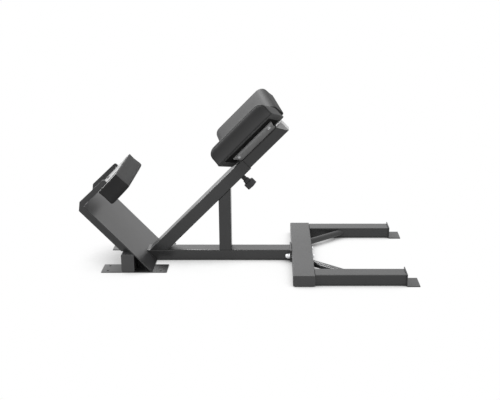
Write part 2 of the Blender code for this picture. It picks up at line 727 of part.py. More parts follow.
def upright():
    # The raw post reaches past the arm's axis and is cut to the arm's lower face
    height = (UPRIGHT_LEFT_X + UPRIGHT_DEPTH - ARM_ROOT_X) * math.tan(ARM_ANGLE)
    centre = (UPRIGHT_LEFT_X + UPRIGHT_DEPTH / 2, 0, TUBE_TOP + GAP + height / 2)
    section = (UPRIGHT_DEPTH, ARM_WIDTH)
    post = square_tube("upright", section, TUBE_WALL, TUBE_CORNER, height, basis(centre, *ALONG_Z))
    arm_space = box("upright_mitre", (-FAR, -FAR, -ARM_HEIGHT / 2 - GAP), (FAR, FAR, FAR), parent=ARM)
    cut(post, arm_space)
    give_finish(post, ANTHRACITE)


def arm_tube():
    section = (ARM_HEIGHT, ARM_WIDTH)
    place = basis((ARM_MOUTH / 2, 0, 0), (0, 0, -1), (0, 1, 0), (1, 0, 0))
    tube = square_tube("arm_tube", section, ARM_WALL, TUBE_CORNER, ARM_MOUTH, place, ARM)
    beam_space = box("arm_foot_cut", (-FAR, -FAR, -FAR), (FAR, FAR, TUBE_TOP + GAP))
    hole = pin_cylinder("arm_pin_hole", PIN_RADIUS + GAP, -ARM_HEIGHT, 0)
    cut(tube, beam_space)
    cut(tube, hole)
    give_finish(tube, ANTHRACITE)


def pin_cylinder(name, radius, low, high, along=PIN_ALONG):
    # A cylinder square to the arm, between two heights of the arm frame
    place = Matrix.Translation((along, 0, (low + high) / 2))
    return extrude_loops(name, [circle((0, 0), radius, 20)], high - low, place, ARM)


def arm_bush():
    # A plastic sleeve just inside the arm's mouth, on which the carriage slides
    outer = (ARM_HEIGHT - 2 * ARM_WALL - 2 * GAP, ARM_WIDTH - 2 * ARM_WALL - 2 * GAP)
    inner = (CARRIAGE_HEIGHT + 2 * GAP, CARRIAGE_WIDTH + 2 * GAP)
    loops = [rounded_rectangle(*outer, TUBE_CORNER - ARM_WALL), rounded_rectangle(*inner, CARRIAGE_CORNER)]
    place = basis((ARM_MOUTH - BUSH_LENGTH / 2, 0, 0), (0, 0, -1), (0, 1, 0), (1, 0, 0))
    bush = extrude_loops("arm_bush", loops, BUSH_LENGTH, place, ARM)
    give_finish(bush, BLACK_PLASTIC)


def carriage_tube():
    start = ARM_MOUTH - CARRIAGE_INSERTION
    end = ARM_MOUTH + CARRIAGE_REACH
    section = (CARRIAGE_HEIGHT, CARRIAGE_WIDTH)
    place = basis(((start + end) / 2, 0, 0), (0, 0, -1), (0, 1, 0), (1, 0, 0))
    tube = square_tube("carriage_tube", section, CARRIAGE_WALL, CARRIAGE_CORNER, end - start, place, ARM)
    cut(tube, mitre_block("carriage_mitre", 0))
    for index in range(HOLE_COUNT):
        along = PIN_ALONG - index * HOLE_PITCH
        low = -CARRIAGE_HEIGHT
        hole = pin_cylinder("carriage_hole_%d" % index, PIN_RADIUS + GAP, low, 0, along)
        cut(tube, hole)
    give_finish(tube, ANTHRACITE)


def mitre_block(name, shift):
    # The space beyond the sloping end of the carriage tube; a shift moves it outward
    corner_along = ARM_MOUTH + CARRIAGE_REACH - END_CAP_SHORT_SIDE
    place = Matrix.Translation((corner_along + shift, 0, -CARRIAGE_HEIGHT / 2))
    lean = Matrix.Rotation(-CARRIAGE_MITRE, 4, "Y")
    return box(name, (0, -FAR, -FAR), (FAR, FAR, FAR), place @ lean, ARM)


def carriage_end_cap():
    # A moulded plug: its head fills the wedge above the sloping cut and ends square
    end = ARM_MOUTH + CARRIAGE_REACH
    start = end - END_CAP_LENGTH
    section = rounded_rectangle(CARRIAGE_HEIGHT, CARRIAGE_WIDTH, CARRIAGE_CORNER)
    place = basis(((start + end) / 2, 0, 0), (0, 0, -1), (0, 1, 0), (1, 0, 0))
    cap = extrude_loops("carriage_end_cap", [section], end - start, place, ARM)
    keep = mitre_block("end_cap_keep", GAP)
    combine(cap, keep, "INTERSECT")
    inside = (CARRIAGE_HEIGHT - 2 * (CARRIAGE_WALL + GAP), CARRIAGE_WIDTH - 2 * (CARRIAGE_WALL + GAP))
    plug_end = end - END_CAP_SHORT_SIDE / 2
    plug_place = basis(((start + plug_end) / 2, 0, 0), (0, 0, -1), (0, 1, 0), (1, 0, 0))
    plug_loop = rounded_rectangle(*inside, PLUG_CORNER)
    plug = extrude_loops("end_cap_plug", [plug_loop], plug_end - start, plug_place, ARM)
    join(cap, plug)
    give_finish(cap, LIGHT_PLASTIC)


def carriage_glide():
    # A plastic shoe on the lower end of the carriage tube, a running fit in the arm
    start = ARM_MOUTH - CARRIAGE_INSERTION
    outer = (ARM_HEIGHT - 2 * ARM_WALL - 2 * GAP, ARM_WIDTH - 2 * ARM_WALL - 2 * GAP)
    inside = (CARRIAGE_HEIGHT - 2 * (CARRIAGE_WALL + GAP), CARRIAGE_WIDTH - 2 * (CARRIAGE_WALL + GAP))
    head_place = basis((start - GAP - GLIDE_LENGTH / 2, 0, 0), (0, 0, -1), (0, 1, 0), (1, 0, 0))
    plug_middle = start + GLIDE_PLUG / 2 - GAP - OVERLAP
    plug_place = basis((plug_middle, 0, 0), (0, 0, -1), (0, 1, 0), (1, 0, 0))
    shoe = rounded_rectangle(*outer, TUBE_CORNER - ARM_WALL)
    glide = extrude_loops("carriage_glide", [shoe], GLIDE_LENGTH, head_place, ARM)
    plug = extrude_loops("glide_plug", [rounded_rectangle(*inside, PLUG_CORNER)], GLIDE_PLUG, plug_place, ARM)
    join(glide, plug)
    give_finish(glide, BLACK_PLASTIC)


def pin_parts():
    face = -ARM_HEIGHT / 2
    place = basis((PIN_ALONG, 0, face), (1, 0, 0), (0, -1, 0), (0, 0, -1))
    axis = new_empty("pin_axis", place, ARM)
    bore = PIN_RADIUS + GAP
    ring = [(bore, GAP), (BOSS_RADIUS - BOSS_FOOT, GAP), (BOSS_RADIUS, GAP + BOSS_FOOT)]
    ring += [(BOSS_RADIUS - TURNED_EDGE, BOSS_HEIGHT), (bore, BOSS_HEIGHT)]
    boss = turned("pin_boss", ring, None, axis, 24)
    give_finish(boss, ANTHRACITE)
    top = BOSS_HEIGHT + GAP
    tube = [(bore, top), (BARREL_RADIUS, top), (BARREL_RADIUS, BARREL_END - TURNED_EDGE)]
    tube += [(BARREL_RADIUS - TURNED_EDGE, BARREL_END), (bore, BARREL_END)]
    barrel = turned("pin_barrel", tube, None, axis, 24)
    give_finish(barrel, BLACK_STEEL)
    plunger(axis)
    knob(axis)
    for piece in (boss, barrel):
        smooth(piece)


def plunger(axis):
    # Parked: the tip stands just clear of the carriage tube's lower face
    tip = -(ARM_WALL + SLIDE_PLAY_HEIGHT) + PIN_PARK_GAP
    end = KNOB_END - KNOB_ROOF - GAP
    taper = PIN_TIP_TAPER
    profile = [(0, tip), (PIN_RADIUS - taper, tip), (PIN_RADIUS, tip + taper), (PIN_RADIUS, end), (0, end)]
    rod = turned("pin_plunger", profile, None, axis, 20)
    smooth(rod)
    give_finish(rod, ZINC)


def knob(axis):
    # A skirt that slides over the barrel, and a lobed head
    seat = PIN_RADIUS + GAP
    throat = BARREL_RADIUS + 2 * GAP
    floor = BARREL_END + PIN_TRAVEL + 2 * GAP
    join_level = KNOB_HEAD_START + OVERLAP
    skirt = [(throat, KNOB_SKIRT_START), (KNOB_SKIRT_RADIUS, KNOB_SKIRT_START)]
    skirt += [(KNOB_SKIRT_FLARE, join_level), (throat, join_level)]
    sleeve = turned("knob_skirt", skirt, None, axis, 24)
    outline = []
    for index in range(KNOB_POINTS):
        angle = 2 * math.pi * index / KNOB_POINTS
        dip = KNOB_LOBE_DEPTH * (1 - math.cos(KNOB_LOBES * angle)) / 2
        radius = KNOB_RADIUS - dip
        outline.append((radius * math.cos(angle), radius * math.sin(angle)))
    head_middle = (KNOB_HEAD_START + KNOB_END) / 2
    place = Matrix.Translation((0, 0, head_middle))
    head = extrude_loops("pin_knob", [outline], KNOB_END - KNOB_HEAD_START, place, axis)
    bevel_edges(head, KNOB_EDGE, 2)
    top = KNOB_END - KNOB_ROOF
    hollow = [(0, 0), (throat, 0), (throat, floor), (seat, floor), (seat, top), (0, top)]
    well = turned("knob_well", hollow, None, axis, 24)
    cut(head, well)
    join(head, sleeve)
    give_finish(head, BLACK_PLASTIC)


# The wing frames: x climbs the arm, y runs out along the tilted back of a cushion, z leaves its face
def wing_matrix(sign):
    outward = Vector((0, sign * math.cos(PAD_TILT), math.sin(PAD_TILT)))
    face = Vector((0, -sign * math.sin(PAD_TILT), math.cos(PAD_TILT)))
    along = outward.cross(face)
    inner_height = carrier_top_at(PAD_CENTRE_GAP) + GAP / math.cos(PAD_TILT)
    origin = Vector((CARRIER_START, sign * PAD_CENTRE_GAP, inner_height))
    return basis(origin, along, outward, face)


def carrier_top_at(y):
    web_top = CARRIER_BOTTOM + CARRIER_THICK
    return web_top + (y - CARRIER_WEB_HALF) * math.tan(PAD_TILT)


def pad_carrier():
    # A plate folded to a shallow V: a narrow web on the carriage tube and two tilted wings
    web = CARRIER_WEB_HALF
    low = CARRIER_BOTTOM
    slope = Vector((math.cos(PAD_TILT), math.sin(PAD_TILT)))
    normal = Vector((-math.sin(PAD_TILT), math.cos(PAD_TILT)))
    top_fold = Vector((web, low + CARRIER_THICK))
    bottom_fold = Vector((web + CARRIER_THICK * math.tan(PAD_TILT / 2), low))
    top_end = top_fold + slope * CARRIER_WING
    bottom_end = top_end - normal * CARRIER_THICK
    half = [bottom_fold, bottom_end, top_end, top_fold]
    points = [(p.x, p.y) for p in half]
    points += [(-p.x, p.y) for p in reversed(half)]
    middle = CARRIER_START + CARRIER_LENGTH / 2
    place = basis((middle, 0, 0), (0, 1, 0), (0, 0, 1), (1, 0, 0))
    plate = extrude_loops("pad_carrier", [points], CARRIER_LENGTH, place, ARM)
    cut(plate, carrier_notch(web, top_end.x))
    for side, sign in SIDES:
        for index in range(2):
            name = "carrier_hole_%s_%d" % (side, index)
            cut(plate, pad_bolt_cylinder(name, sign, index, PAD_BOLT_RADIUS + GAP, -SPARE, OVERLAP))
    give_finish(plate, LIGHT_PAINT)


def carrier_notch(web, edge):
    # The upper end is cut back at the web and runs out to the full length at the wings' edges
    low = CARRIER_START + CARRIER_WEB_LENGTH
    high = CARRIER_START + CARRIER_LENGTH
    past = high + (high - low)
    far_edge = edge + (edge - web)
    loop = [(low, -web), (past, -far_edge), (past, far_edge), (low, web)]
    return extrude_loops("carrier_notch", [loop], FAR, None, ARM)


def pad_bolt_cylinder(name, sign, index, radius, low, high, steps=16):
    wing = wing_matrix(sign)
    along = (PAD_BOLT_LOW + index * PAD_BOLT_PITCH) * sign
    place = wing @ Matrix.Translation((along, PAD_BOLT_OUT, (low + high) / 2))
    return extrude_loops(name, [circle((0, 0), radius, steps)], high - low, place, ARM)


def thigh_pad(side, sign):
    # The cushion's back lies on the carrier's wing and its board is let into the back
    wing = wing_matrix(sign)
    middle_along = (PAD_LENGTH / 2 - PAD_OVERHANG) * sign
    place = wing @ Matrix.Translation((middle_along, PAD_WIDTH / 2, 0))
    size = (PAD_LENGTH, PAD_WIDTH, PAD_THICK)
    radii = (PAD_END_RADIUS, PAD_EDGE_RADIUS, PAD_BACK_RADIUS)
    pad = cushion("thigh_pad_" + side, size, radii, PAD_CROWN, PAD_DRAW_IN, (8, 6, 3), place, ARM)
    half_x = PAD_LENGTH / 2 - BOARD_INSET
    half_y = PAD_WIDTH / 2 - BOARD_INSET
    pocket_low = (-half_x - GAP, -half_y - GAP, -BOARD_THICK)
    pocket_high = (half_x + GAP, half_y + GAP, BOARD_THICK + GAP)
    cut(pad, box("pad_pocket_" + side, pocket_low, pocket_high, place, ARM))
    give_finish(pad, BLACK_VINYL)
    board = box("pad_board_" + side, (-half_x, -half_y, 0), (half_x, half_y, BOARD_THICK), place, ARM)
    give_finish(board, BLACK_BOARD)


def pad_bolts(side, sign):
    # Two bolts that come up through each wing into the board
    under = -CARRIER_THICK - 2 * GAP
    for index, level in enumerate(("lower", "upper")):
        name = "pad_bolt_%s_%s" % (side, level)
        low = under - PAD_BOLT_HEAD
        head = pad_bolt_cylinder(name, sign, index, PAD_BOLT_HEAD_RADIUS, low, under, 20)
        shank = pad_bolt_cylinder(name + "_shank", sign, index, PAD_BOLT_RADIUS, under - OVERLAP, -GAP)
        join(head, shank)
        give_finish(head, ZINC)


def frame_bolts():
    # Hexagon bolts through the crossbar and flange, each closed by a domed nut
    head_x = CROSSBAR_RIGHT + GAP
    washer_x = FLANGE_FACE_X - GAP
    for side, sign in SIDES:
        middle = (0, sign * FRAME_BOLT_Y, FRAME_BOLT_Z)
        shank_low = washer_x - FRAME_WASHER - FRAME_NUT_HEIGHT / 2
        shank_high = head_x + FRAME_HEAD_HEIGHT / 2
        shank = x_cylinder("frame_bolt_" + side, middle, FRAME_BOLT_RADIUS, shank_low, shank_high, 16)
        head_end = head_x + FRAME_HEAD_HEIGHT
        head = x_cylinder("frame_bolt_head_" + side, middle, FRAME_HEAD_RADIUS, head_x, head_end, 6)
        join(shank, head)
        give_finish(shank, ZINC)
        frame_nut(side, middle, washer_x)


def x_cylinder(name, middle, radius, low, high, steps):
    place = basis(((low + high) / 2, middle[1], middle[2]), *ALONG_X)
    return extrude_loops(name, [circle((0, 0), radius, steps)], high - low, place)


def frame_nut(side, middle, washer_x):
    # A washer, a hexagon and a dome, with the bolt's bore inside
    nut_x = washer_x - FRAME_WASHER
    washer = x_cylinder("frame_nut_" + side, middle, FRAME_NUT_RADIUS, nut_x - OVERLAP, washer_x, 24)
    body = x_cylinder("nut_body_" + side, middle, FRAME_NUT_RADIUS, nut_x - FRAME_NUT_HEIGHT, nut_x, 6)
    dome_x = nut_x - FRAME_NUT_HEIGHT + OVERLAP
    dome_place = basis((dome_x, middle[1], middle[2]), (0, 1, 0), (0, 0, -1), (-1, 0, 0))
    crown = turned("nut_dome_" + side, dome(FRAME_DOME_RADIUS, FRAME_NUT_DOME, 5), dome_place, None, 24)
    bore_low = nut_x - FRAME_NUT_HEIGHT / 2 - 2 * GAP
    bore = x_cylinder("nut_bore_" + side, middle, FRAME_BOLT_RADIUS + GAP, bore_low, washer_x + SPARE, 16)
    join(washer, body)
    join(washer, crown)
    cut(washer, bore)
    give_finish(washer, ZINC)


def build():
    main_beam()
    front_cross_tube()
    foot_plate()
    ankle_cushion()
    flange()
    rear_crossbar()
    upright()
    arm_tube()
    arm_bush()
    carriage_tube()
    carriage_end_cap()
    carriage_glide()
    pin_parts()
    pad_carrier()
    frame_bolts()
    for side, sign in SIDES:
        floor_plate(side, sign)
        side_plate(side, sign)
        leg(side, sign)
        leg_bracket(side, sign)
        brace(side, sign)
        thigh_pad(side, sign)
        pad_bolts(side, sign)


build()
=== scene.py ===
# Looks of the hyperextension bench: satin painted tubes, vinyl cushions with
# sewn seams, zinc and black fasteners, on a plain pale floor.
# Units are metres, in the frame of the CAD model.

import json
import math

import bmesh
import bpy
from mathutils import Matrix, Vector
from mathutils.bvhtree import BVHTree


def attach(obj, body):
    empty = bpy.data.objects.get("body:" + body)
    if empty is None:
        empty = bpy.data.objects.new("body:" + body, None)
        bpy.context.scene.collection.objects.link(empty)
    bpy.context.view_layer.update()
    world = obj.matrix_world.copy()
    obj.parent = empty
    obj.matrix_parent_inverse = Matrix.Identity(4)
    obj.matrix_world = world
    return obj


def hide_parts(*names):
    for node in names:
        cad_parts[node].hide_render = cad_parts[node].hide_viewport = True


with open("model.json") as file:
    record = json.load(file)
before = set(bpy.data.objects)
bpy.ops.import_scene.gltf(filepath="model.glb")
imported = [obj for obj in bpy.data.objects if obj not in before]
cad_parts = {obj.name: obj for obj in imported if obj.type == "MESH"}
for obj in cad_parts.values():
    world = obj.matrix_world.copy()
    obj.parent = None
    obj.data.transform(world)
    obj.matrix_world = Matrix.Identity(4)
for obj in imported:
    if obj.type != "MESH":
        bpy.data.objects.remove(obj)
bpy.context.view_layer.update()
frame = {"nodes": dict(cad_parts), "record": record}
NODES = frame["nodes"]

# Camera, as fitted to the photograph
CAMERA_PLACE = (0.1272, -3.8891, 1.4864)
CAMERA_PITCH = math.radians(72.96)
CAMERA_LENS = 60.997
CAMERA_SHIFT_X = -0.04966
CAMERA_SENSOR = 36.0
CAMERA_CLIP = 300

# Floor: white to the eye, dark to the light that it throws back
FLOOR_SIZE = 120.0
FLOOR_DROP = 0.0002
FLOOR_COLOUR = 0.13
FLOOR_ROUGHNESS = 0.9
FLOOR_GLOW = 1.0
# FLOOR_CLOSED and FLOOR_OPEN bound the painted floor shadow, where ambient occlusion fades the floor's glow
FLOOR_CLOSED = 0.10
FLOOR_OPEN = 0.78
SHADOW_REACH = 0.30
SHADOW_SAMPLES = 8

# Light: the strength of the sky, then name, place, target, power in watts and side of each lamp
WORLD_LIGHT = 0.62
LAMPS = (
    ("key", (-0.8, -0.4, 4.4), (0, 0, 0.2), 45.0, 3.2),
    ("back", (-1.3, 2.9, 3.4), (0, 0, 0.4), 150.0, 1.8),
    ("left", (-3.2, 0, 3.0), (0, 0, 0.3), 265.0, 2.4),
)

# Edges of the CAD pieces
WELD_REACH = 0.00002
EDGE_WIDTH = 0.0007
EDGE_SEGMENTS = 2
EDGE_TURN = math.radians(40)

# The arm and the frames of the thigh cushions, repeated from the CAD source
GAP = 0.0003
ARM_ROOT_X = -0.4873
ARM_ANGLE = math.radians(45)
CARRIAGE_HEIGHT = 0.0526
CARRIER_START = 0.6798
CARRIER_THICK = 0.005
CARRIER_WEB_HALF = 0.028
PAD_TILT = math.radians(21.4)
PAD_CENTRE_GAP = 0.0335
PAD_WIDTH = 0.2215
PAD_LENGTH = 0.3405
PAD_OVERHANG = 0.0550
PAD_THICK = 0.080
PAD_END_RADIUS = 0.040
PAD_EDGE_RADIUS = 0.014
PAD_BACK_RADIUS = 0.002
PAD_CROWN = 0.004
PAD_DRAW_IN = 0.0025
BOARD_INSET = 0.030
BOARD_THICK = 0.012

# The foot frame and the ankle cushion, repeated from the CAD source
FOOT_ANGLE = math.radians(46.9)
FOOT_TIP = (-0.44436, 0.0, 0.004)
FOOT_LENGTH = 0.4395
ANKLE_TILT = math.radians(3.0)
ANKLE_LENGTH = 0.3958
ANKLE_HEIGHT = 0.119
ANKLE_START = 0.0943
ANKLE_THICK = 0.0836
ANKLE_END_RADIUS = 0.010
ANKLE_EDGE_RADIUS = 0.008
ANKLE_BACK_RADIUS = 0.003
ANKLE_CROWN = 0.002
ANKLE_DRAW_IN = 0.0015

# The light sheet behind the ankle cushion, which only this scene has
BACKING_MARGIN = 0.0005
BACKING_THICK = 0.0002
BACKING_DEPTH = 0.00015

# Meshes of the cushions
GRID = 0.005
MATCH = 0.0001
CORNER_TURN = math.radians(45)
SLICE_REACH = 0.0004
END_SEGMENTS = 12
RIM_SEGMENTS = 5
BACK_SEGMENTS = 2
CROWN_FLATNESS = 4
CROWN_FADE = 3
DRAW_IN_FLATNESS = 6
DRAW_IN_SHARE = 0.75
CLEARANCE = 0.0003

# Cloth
HELD_BELOW = 0.0035
START_INSET = 0.0010
CLOTH_PRESSURE = 4.0
CLOTH_QUALITY = 5
CLOTH_FRAMES = 20
SWELL_CAP = 0.0018
PULL_CAP = 0.0002
SMOOTH_ROUNDS = 30

# Seams and stitches
SEAM_INSET = 0.0045
SEAM_LIFT = 0.0002
SEAM_RADIUS = 0.0010
SEAM_START = 0.004
SEAM_LEAST_BEND = 0.004
BEND_STEPS = 8
FACE_STEPS = 40
STITCH_INSET = 0.0105
STITCH_LIFT = 0.0001
STITCH_PITCH = 0.0065
STITCH_LENGTH = 0.0040
STITCH_RADIUS = 0.00042

# Where the colour noise starts and ends its blend
RAMP_START = 0.30
RAMP_END = 0.72


def new_material(name):
    material = bpy.data.materials.new(name)
    material.use_nodes = True
    tree = material.node_tree
    shader = tree.nodes["Principled BSDF"]
    return material, tree, shader


def node(tree, kind, **inputs):
    made = tree.nodes.new(kind)
    for key, value in inputs.items():
        made.inputs[key.replace("_", " ")].default_value = value
    return made


def noise(tree, place, scale, detail=3.0):
    made = node(tree, "ShaderNodeTexNoise", Scale=scale, Detail=detail)
    tree.links.new(place, made.inputs["Vector"])
    return made.outputs["Fac"]


def vary_colour(tree, shader, place, low, high, scale):
    ramp = tree.nodes.new("ShaderNodeValToRGB")
    ramp.color_ramp.elements[0].position = RAMP_START
    ramp.color_ramp.elements[1].position = RAMP_END
    ramp.color_ramp.elements[0].color = (*low, 1)
    ramp.color_ramp.elements[1].color = (*high, 1)
    tree.links.new(noise(tree, place, scale, detail=4.0), ramp.inputs["Fac"])
    tree.links.new(ramp.outputs["Color"], shader.inputs["Base Color"])


def vary_roughness(tree, shader, place, rough, scale):
    spread = node(tree, "ShaderNodeMapRange", To_Min=rough[0], To_Max=rough[1])
    tree.links.new(noise(tree, place, scale), spread.inputs["Value"])
    tree.links.new(spread.outputs["Result"], shader.inputs["Roughness"])


def add_bump(tree, shader, height, strength, distance):
    bump = node(tree, "ShaderNodeBump", Strength=strength, Distance=distance)
    tree.links.new(height, bump.inputs["Height"])
    tree.links.new(bump.outputs["Normal"], shader.inputs["Normal"])


def varied(name, low, high, rough, colour_scale, rough_scale):
    # What every finish shares: slow changes of colour and of sheen
    material, tree, shader = new_material(name)
    place = tree.nodes.new("ShaderNodeTexCoord").outputs["Object"]
    vary_colour(tree, shader, place, low, high, colour_scale)
    vary_roughness(tree, shader, place, rough, rough_scale)
    return material, tree, shader, place


def paint(name, low, high, rough):
    # Powder coat: a fine orange peel under a satin gloss
    material, tree, shader, place = varied(name, low, high, rough, colour_scale=9.0, rough_scale=22.0)
    add_bump(tree, shader, noise(tree, place, scale=1100.0, detail=2.0), strength=0.05, distance=0.0001)
    return material


def vinyl(name, low, high, rough):
    # Grained vinyl: small cells with soft valleys
    material, tree, shader, place = varied(name, low, high, rough, colour_scale=14.0, rough_scale=30.0)
    cells = node(tree, "ShaderNodeTexVoronoi", Scale=700.0)
    cells.feature = "SMOOTH_F1"
    tree.links.new(place, cells.inputs["Vector"])
    add_bump(tree, shader, cells.outputs["Distance"], strength=0.10, distance=0.0001)
    shader.inputs["Specular IOR Level"].default_value = 0.25
    return material


def plastic(name, low, high, rough):
    material, tree, shader, place = varied(name, low, high, rough, colour_scale=40.0, rough_scale=60.0)
    add_bump(tree, shader, noise(tree, place, scale=1600.0, detail=2.0), strength=0.15, distance=0.0002)
    return material


def metal(name, low, high, rough):
    material, tree, shader, place = varied(name, low, high, rough, colour_scale=60.0, rough_scale=120.0)
    add_bump(tree, shader, noise(tree, place, scale=900.0), strength=0.05, distance=0.0001)
    shader.inputs["Metallic"].default_value = 1.0
    return material


def board(name, low, high, rough):
    material, tree, shader, place = varied(name, low, high, rough, colour_scale=180.0, rough_scale=90.0)
    add_bump(tree, shader, noise(tree, place, scale=700.0), strength=0.1, distance=0.0002)
    shader.inputs["Specular IOR Level"].default_value = 0.05
    return material


def grey(level):
    return (level, level, level)


PAINT = paint("satin_paint", (0.030, 0.0303, 0.031), (0.037, 0.0373, 0.038), (0.27, 0.33))
TUBE_CAP = paint("tube_cap_plastic", (0.061, 0.061, 0.062), (0.069, 0.069, 0.070), (0.34, 0.40))
PLATE_PAINT = paint("plate_satin_paint", grey(0.18), grey(0.22), (0.30, 0.38))
# Painted reflection: the pad carrier is dark satin paint, and this light grey stands in for the white floor
# mirrored in it at a grazing angle
CARRIER_PAINTED_REFLECTION = paint("carrier_satin_paint", grey(0.46), grey(0.54), (0.30, 0.38))
CAP_PLASTIC = plastic("light_cap_plastic", grey(0.70), grey(0.77), (0.40, 0.50))
VINYL = vinyl("grained_vinyl", (0.019, 0.019, 0.0194), (0.022, 0.022, 0.0224), (0.58, 0.62))
# Near-black welt: partly dark piping and partly painted shade, the shadow that lies in the groove along each
# seam
SEAM_WELT_AND_SHADE = vinyl("seam_welt_painted_shade", grey(0.005), grey(0.009), (0.70, 0.80))
THREAD = plastic("seam_thread", (0.020, 0.020, 0.021), (0.034, 0.034, 0.036), (0.50, 0.62))
BLACK_PLASTIC = plastic("black_plastic", (0.024, 0.024, 0.026), (0.032, 0.032, 0.034), (0.44, 0.54))
ZINC = metal("zinc_plate", (0.78, 0.79, 0.80), (0.86, 0.87, 0.88), (0.42, 0.52))
BLACK_STEEL = plastic("black_oxide", grey(0.008), grey(0.014), (0.50, 0.60))
# Near-black board: partly the cushions' own black backing, partly painted shade for the dark gap between the
# thigh cushions and their carrier
BACKING_AND_SHADE = board("black_backing_and_painted_shade", grey(0.003), grey(0.006), (0.82, 0.94))

FINISHES = {
    "frame_paint": PAINT,
    "plate_paint": PLATE_PAINT,
    "cushion_vinyl": VINYL,
    "cushion_board": BACKING_AND_SHADE,
    "black_plastic": BLACK_PLASTIC,
    "end_cap_plastic": CAP_PLASTIC,
    "zinc": ZINC,
    "black_steel": BLACK_STEEL,
}

# Pieces whose look differs from the rest of their slot; the pad carrier's light grey is a painted reflection
# of the white floor
NODE_FINISHES = {
    "pad_carrier": CARRIER_PAINTED_REFLECTION,
    "front_cross_tube_cap_near": TUBE_CAP,
    "front_cross_tube_cap_far": TUBE_CAP,
    "rear_crossbar_cap_near": TUBE_CAP,
    "rear_crossbar_cap_far": TUBE_CAP,
}


def dress_cad_nodes():
    for entry in frame["record"]["subparts"]:
        piece = NODES[entry["node"]]
        finish = NODE_FINISHES.get(entry["node"], FINISHES[entry["material_slot"]])
        piece.data.materials.clear()
        piece.data.materials.append(finish)
        soften_edges(piece)


def soften_edges(piece):
    # Real edges are a little round, so that they catch the light
    weld = piece.modifiers.new("weld", "WELD")
    weld.merge_threshold = WELD_REACH
    edge = piece.modifiers.new("edge", "BEVEL")
    edge.width = EDGE_WIDTH
    edge.segments = EDGE_SEGMENTS
    edge.limit_method = "ANGLE"
    edge.angle_limit = EDGE_TURN
    edge.harden_normals = True


def basis(origin, x_axis, y_axis, z_axis):
    rows = Matrix((x_axis, y_axis, z_axis)).transposed().to_4x4()
    return Matrix.Translation(origin) @ rows


def arm_frame():
    along = Vector((math.cos(ARM_ANGLE), 0, math.sin(ARM_ANGLE)))
    above = Vector((-math.sin(ARM_ANGLE), 0, math.cos(ARM_ANGLE)))
    return basis(Vector((ARM_ROOT_X, 0, 0)), along, above.cross(along), above)


def thigh_frame(sign):
    # Local x runs along the arm, y out along the cushion's back, and z leaves its face
    outward = Vector((0, sign * math.cos(PAD_TILT), math.sin(PAD_TILT)))
    face = Vector((0, -sign * math.sin(PAD_TILT), math.cos(PAD_TILT)))
    web_top = CARRIAGE_HEIGHT / 2 + GAP + CARRIER_THICK
    rise = (PAD_CENTRE_GAP - CARRIER_WEB_HALF) * math.tan(PAD_TILT)
    height = web_top + rise + GAP / math.cos(PAD_TILT)
    origin = Vector((CARRIER_START, sign * PAD_CENTRE_GAP, height))
    wing = basis(origin, outward.cross(face), outward, face)
    middle = ((PAD_LENGTH / 2 - PAD_OVERHANG) * sign, PAD_WIDTH / 2, 0)
    return arm_frame() @ wing @ Matrix.Translation(middle)


def foot_frame():
    climb = Vector((-math.cos(FOOT_ANGLE), 0, math.sin(FOOT_ANGLE)))
    outward = Vector((math.sin(FOOT_ANGLE), 0, math.cos(FOOT_ANGLE)))
    return basis(Vector(FOOT_TIP), climb, outward.cross(climb), outward)


def ankle_frame():
    lean = Vector((math.sin(ANKLE_TILT), 0, math.cos(ANKLE_TILT)))
    face = Vector((-math.cos(ANKLE_TILT), 0, math.sin(ANKLE_TILT)))
    lower_edge = Vector((FOOT_LENGTH, 0, ANKLE_START))
    return foot_frame() @ basis(lower_edge + lean * ANKLE_HEIGHT / 2, (0, -1, 0), lean, face)


def add_object(name, data):
    made = bpy.data.objects.new(name, data)
    bpy.context.scene.collection.objects.link(made)
    return made


def box_mesh(name, size, middle):
    work = bmesh.new()
    bmesh.ops.create_cube(work, size=1)
    for vert in work.verts:
        vert.co = Vector(a * b for a, b in zip(vert.co, size)) + Vector(middle)
    mesh = bpy.data.meshes.new(name)
    work.to_mesh(mesh)
    work.free()
    return mesh


def fine_cushion(name, size, radii, crown, draw_in):
    # The cushion's CAD shape on a grid fine enough for cloth: its back lies at z = 0
    length, width, thick = size
    end_radius, edge_radius, back_radius = radii
    work = bmesh.new()
    bmesh.ops.create_cube(work, size=1)
    for vert in work.verts:
        vert.co = (vert.co.x * length, vert.co.y * width, (vert.co.z + 0.5) * thick)
    round_edges(work, end_radius, lambda a, b: is_end_edge(a, b, thick), END_SEGMENTS)
    round_edges(work, edge_radius, lambda a, b: is_rim(a, b, width), RIM_SEGMENTS)
    slice_grid(work, size)
    for vert in work.verts:
        vert.co = swell(vert.co, size, crown, draw_in)
    round_edges(work, back_radius, is_back_edge, BACK_SEGMENTS)
    bmesh.ops.recalc_face_normals(work, faces=work.faces)
    mesh = bpy.data.meshes.new(name)
    work.to_mesh(mesh)
    work.free()
    return add_object(name, mesh)


def is_end_edge(a, b, thick):
    return min(a.z, b.z) > thick - MATCH and abs(a.x - b.x) < MATCH


def is_rim(a, b, width):
    return abs(a.y - b.y) < MATCH and abs(abs(a.y) - width / 2) < MATCH and max(a.z, b.z) > MATCH


def is_back_edge(a, b):
    return max(a.z, b.z) < MATCH


def round_edges(work, radius, wanted, segments):
    edges = [e for e in work.edges if e.is_manifold and e.calc_face_angle() > CORNER_TURN]
    edges = [e for e in edges if wanted(e.verts[0].co, e.verts[1].co)]
    bmesh.ops.bevel(work, geom=edges, offset=radius, segments=segments, affect="EDGES", profile=0.5)


def slice_grid(work, size):
    length, width, thick = size
    along, across, up = [round(side / GRID) for side in size]
    planes = [((length * (i / along - 0.5), 0, 0), (1, 0, 0)) for i in range(1, along)]
    planes += [((0, width * (i / across - 0.5), 0), (0, 1, 0)) for i in range(1, across)]
    planes += [((0, 0, thick * i / up), (0, 0, 1)) for i in range(1, up)]
    for place, normal in planes:
        everything = work.verts[:] + work.edges[:] + work.faces[:]
        bmesh.ops.bisect_plane(work, geom=everything, dist=SLICE_REACH, plane_co=place, plane_no=normal)


